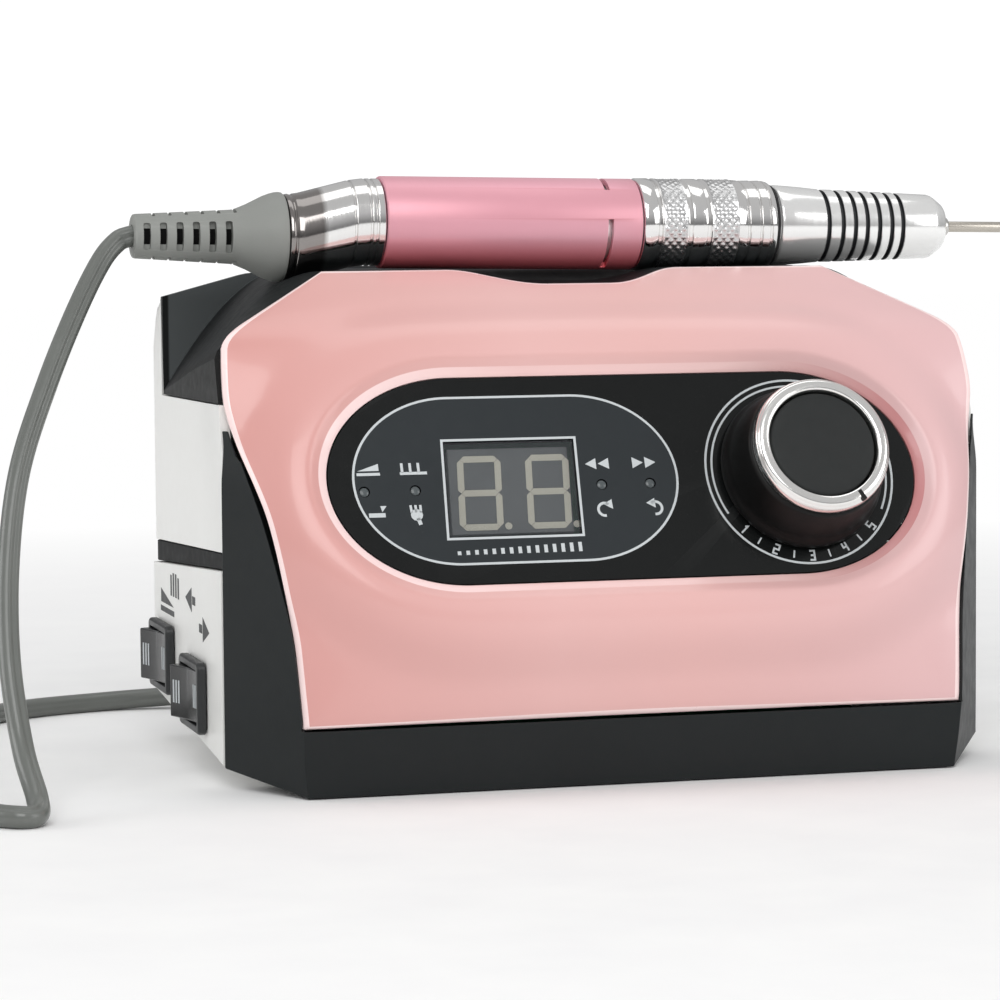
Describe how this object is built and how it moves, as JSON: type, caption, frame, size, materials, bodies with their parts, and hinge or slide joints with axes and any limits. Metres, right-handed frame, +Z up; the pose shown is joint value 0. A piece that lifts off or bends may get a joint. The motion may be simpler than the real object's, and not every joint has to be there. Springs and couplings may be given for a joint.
{
  "type": "electric nail drill",
  "caption": "Desktop nail drill: a control box with tilted display panel, speed knob and rocker switches, and a corded rotary handpiece lying in the cradle on its top.",
  "frame": {"origin": "centre of the rubber base mat's resting face", "axes": "+X towards the user's right along the handpiece's nose, +Y away from the user towards the rear wall, +Z up"},
  "size_m": [0.2474, 0.1644, 0.1236],
  "materials": {
    "panel_pink": "glossy moulded",
    "case_black": "satin moulded",
    "case_white": "semi-gloss moulded",
    "gloss_black": "glossy",
    "rubber_black": "matt",
    "grey_rubber": "matt",
    "cable_jacket": "semi-matt",
    "chrome": "polished",
    "steel": "turned",
    "anodised_pink": "anodised satin",
    "smoked_window": "smoked clear",
    "led_lens": "diffused lens",
    "circuit_board": "solder mask",
    "copper_winding": "enamelled wire",
    "aluminium": "as extruded",
    "brass": "turned"
  },
  "bodies": {
    "case": {"front_panel": "panel_pink", "front_bezel": "case_black", "lower_case": "case_white", "stripe_band": "case_black", "upper_case": "case_white", "cradle_cover": "case_black", "base_plate": "case_black", "base_mat": "rubber_black", "base_screw_front_left": "steel", "base_screw_front_right": "steel", "base_screw_rear_left": "steel", "base_screw_rear_right": "steel", "display_panel": "gloss_black", "display_window": "smoked_window", "digit_display": "gloss_black", "led_foot": "led_lens", "led_hand": "led_lens", "led_reverse": "led_lens", "led_forward": "led_lens", "control_board": "circuit_board", "power_board": "circuit_board", "transformer_core": "steel", "transformer_coil": "copper_winding", "filter_capacitor": "gloss_black", "heat_sink": "aluminium", "potentiometer": "aluminium", "pot_nut": "brass", "switch_housing_hand_foot": "case_black", "switch_housing_direction": "case_black", "switch_housing_power": "case_black", "handpiece_jack": "chrome", "pedal_jack": "case_black", "power_inlet": "case_black", "handpiece_cable": "cable_jacket"},
    "knob": {"knob_body": "case_black", "knob_ring": "chrome", "knob_cap": "case_black", "pot_shaft": "aluminium"},
    "hand_foot_rocker": {"rocker_hand_foot": "gloss_black"},
    "direction_rocker": {"rocker_direction": "gloss_black"},
    "power_rocker": {"rocker_power": "gloss_black"},
    "plug": {"cable_plug": "chrome", "plug_boot": "grey_rubber"},
    "handpiece": {"barrel": "anodised_pink", "tail_collar": "chrome", "strain_relief": "grey_rubber", "motor_can": "steel", "motor_end_cap": "case_black", "nose_housing": "chrome", "rear_bearing": "steel", "front_bearing": "steel"},
    "chuck_sleeve": {"twist_sleeve": "chrome", "sleeve_seal": "rubber_black"},
    "drive": {"motor_rotor": "copper_winding", "drive_coupling": "brass", "spindle": "steel", "collet_spring": "steel"},
    "chuck": {"collet": "steel"},
    "bit": {"bit_shank": "steel"}
  },
  "joints": [
    {"name": "knob_turn", "type": "hinge", "parent": "case", "child": "knob", "pos_m": [0.0372, -0.043, 0.0621], "axis": [0, 0.9078, -0.4195], "range_deg": [-280, 0]},
    {"name": "hand_foot_tilt", "type": "hinge", "parent": "case", "child": "hand_foot_rocker", "pos_m": [-0.0818, 0.032, 0.02], "axis": [0, 0, -1], "range_deg": [0, 24]},
    {"name": "direction_tilt", "type": "hinge", "parent": "case", "child": "direction_rocker", "pos_m": [-0.0818, -0.004, 0.0162], "axis": [0, 0, -1], "range_deg": [0, 24]},
    {"name": "power_tilt", "type": "hinge", "parent": "case", "child": "power_rocker", "pos_m": [0.018, 0.0506, 0.0268], "axis": [0, 0, -1], "range_deg": [0, 24]},
    {"name": "plug_pull", "type": "slide", "parent": "case", "child": "plug", "axis": [0, 1, 0], "range_m": [0, 0.012]},
    {"name": "handpiece_lift", "type": "slide", "parent": "case", "child": "handpiece", "axis": [0, 0, 1], "range_m": [0, 0.06]},
    {"name": "chuck_twist", "type": "hinge", "parent": "handpiece", "child": "chuck_sleeve", "pos_m": [0, 0.007, 0.1132], "axis": [0.9999, 0, -0.0157], "range_deg": [0, 75]},
    {"name": "spindle_spin", "type": "hinge", "parent": "handpiece", "child": "drive", "pos_m": [0, 0.007, 0.1132], "axis": [0.9999, 0, -0.0157], "continuous": true},
    {"name": "collet_draw", "type": "slide", "parent": "drive", "child": "chuck", "axis": [0.9999, 0, -0.0157], "range_m": [0, 0.0012]},
    {"name": "bit_pull", "type": "slide", "parent": "chuck", "child": "bit", "axis": [0.9999, 0, -0.0157], "range_m": [0, 0.03]}
  ],
  "couplings": [
    {"joint": "collet_draw", "follows": "chuck_twist", "m_per_rad": 0.000915}
  ]
}
